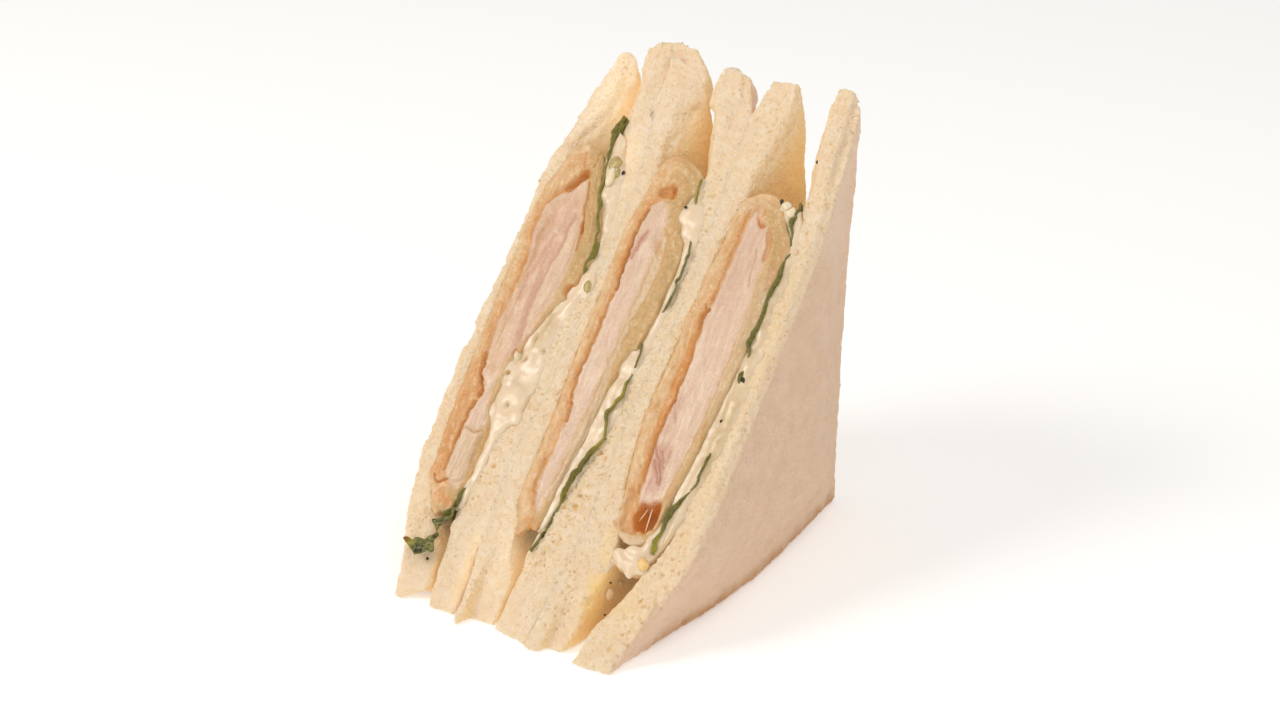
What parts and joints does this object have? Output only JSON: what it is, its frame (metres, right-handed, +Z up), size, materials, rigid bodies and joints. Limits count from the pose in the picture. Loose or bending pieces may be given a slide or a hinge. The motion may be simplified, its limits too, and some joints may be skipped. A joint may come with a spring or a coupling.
{
  "type": "fried chicken sandwich",
  "caption": "Crustless white-bread sandwich cut into triangular wedges that stand on their sides, filled with battered chicken, lettuce and tartar sauce.",
  "frame": {"origin": "the middle of the base, on the surface the sandwich stands on", "axes": "+X across the stack from the left-hand slice to the right-hand one, +Y from the front tips to the upright backs, +Z up"},
  "size_m": [0.081, 0.1054, 0.1112],
  "materials": {
    "bread": "soft dry white crumb, cream coloured on the cut",
    "chicken": "moist meat in a soft golden batter",
    "lettuce": "thin moist green leaf",
    "tartar": "creamy off-white sauce"
  },
  "bodies": {
    "root": {"bread_1": "bread", "bread_2": "bread", "bread_3": "bread", "bread_4": "bread", "bread_5": "bread", "bread_6": "bread", "chicken_1": "chicken", "chicken_2": "chicken", "chicken_3": "chicken", "lettuce_1": "lettuce", "lettuce_2": "lettuce", "lettuce_3": "lettuce", "lettuce_tip": "lettuce", "tartar_1": "tartar", "tartar_2": "tartar", "tartar_3": "tartar", "tartar_fold": "tartar"}
  },
  "joints": []
}
